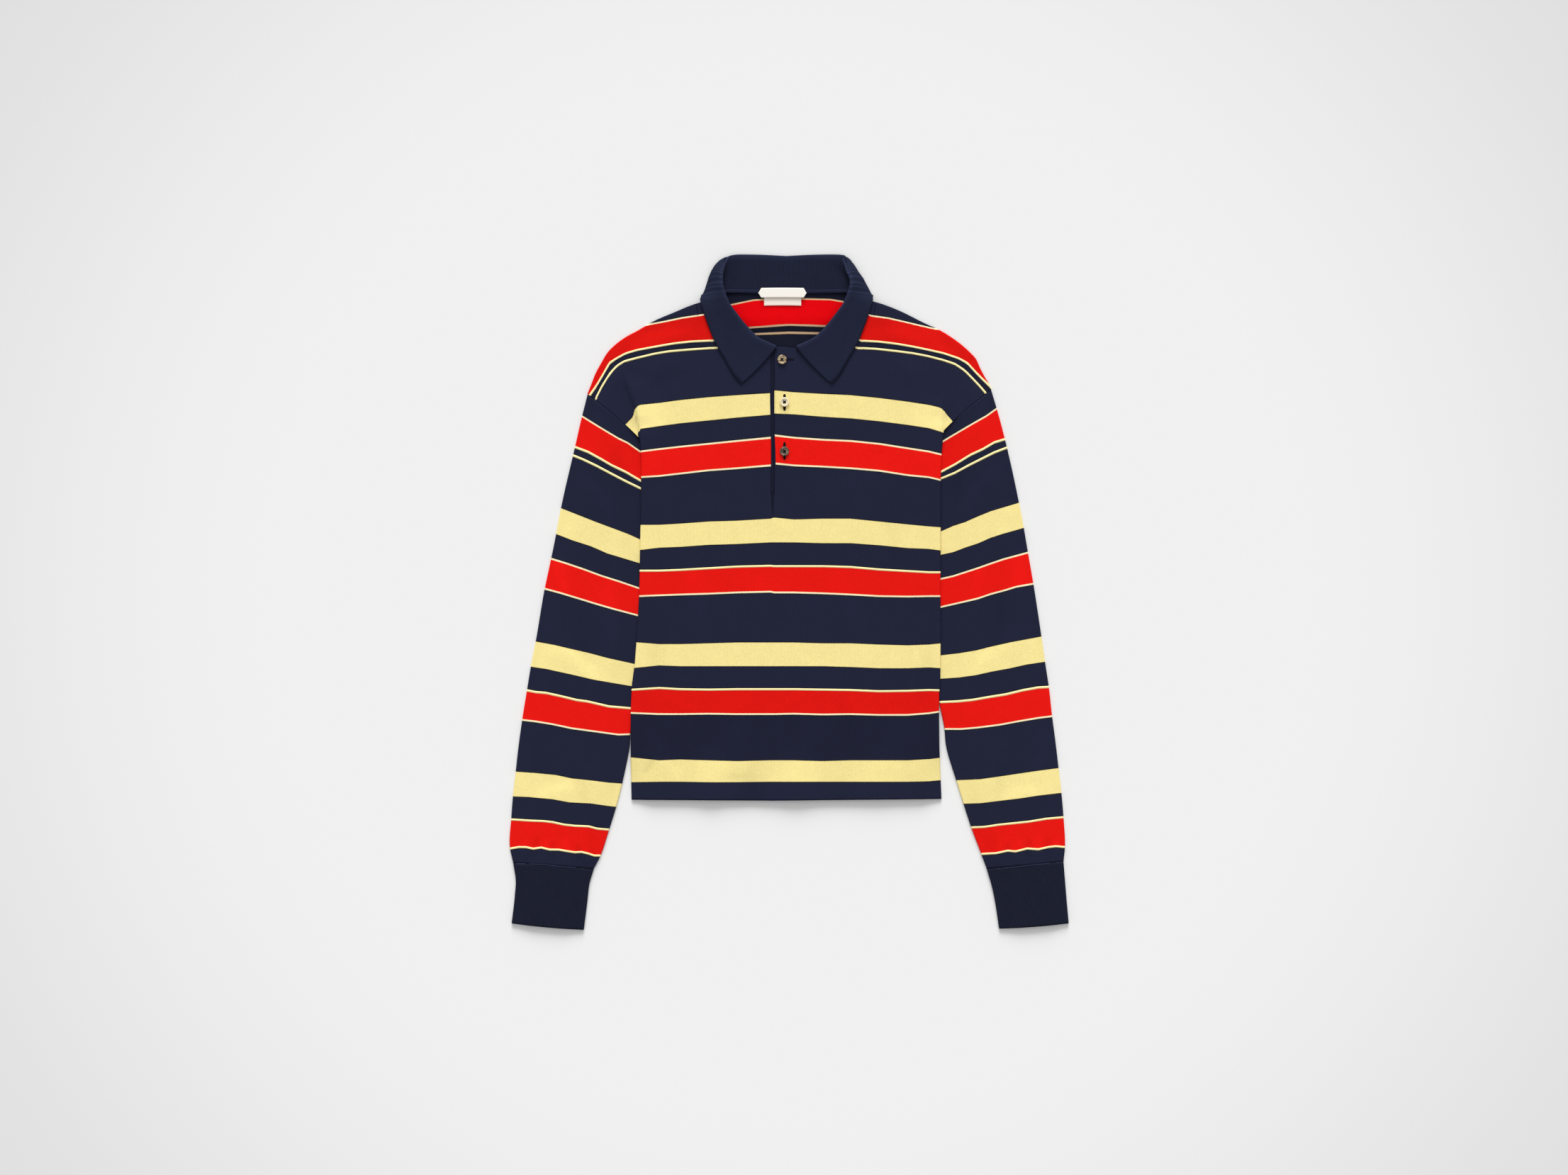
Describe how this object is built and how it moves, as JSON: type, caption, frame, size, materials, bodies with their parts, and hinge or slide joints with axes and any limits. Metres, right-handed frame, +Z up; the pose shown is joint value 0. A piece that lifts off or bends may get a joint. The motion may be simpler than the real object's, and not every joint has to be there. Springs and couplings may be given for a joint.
{
  "type": "rugby shirt laid flat",
  "caption": "Long-sleeved striped rugby shirt laid flat face up, with an open folded rib collar, a buttoned placket and ribbed cuffs.",
  "frame": {"origin": "on the underside of the back panel, where the shirt rests, on the centre line 256 mm above the hem", "axes": "+Y from the hem to the collar, +Z up out of the front of the shirt, +X to the wearer's left sleeve"},
  "size_m": [0.6849, 0.8281, 0.0149],
  "materials": {
    "jersey": "matt fine-gauge cotton jersey, navy with red, cream and pale yellow stripes",
    "rib": "matt navy rib knit",
    "horn": "polished mottled horn",
    "satin": "cream woven satin, blank"
  },
  "bodies": {
    "root": {"back": "jersey", "front": "jersey", "sleeve_l": "jersey", "sleeve_r": "jersey", "placket_under": "jersey", "cuff_l": "rib", "cuff_r": "rib", "collar": "rib", "label": "satin", "label_tab": "satin", "button_1": "horn", "button_2": "horn", "button_3": "horn"}
  },
  "joints": []
}
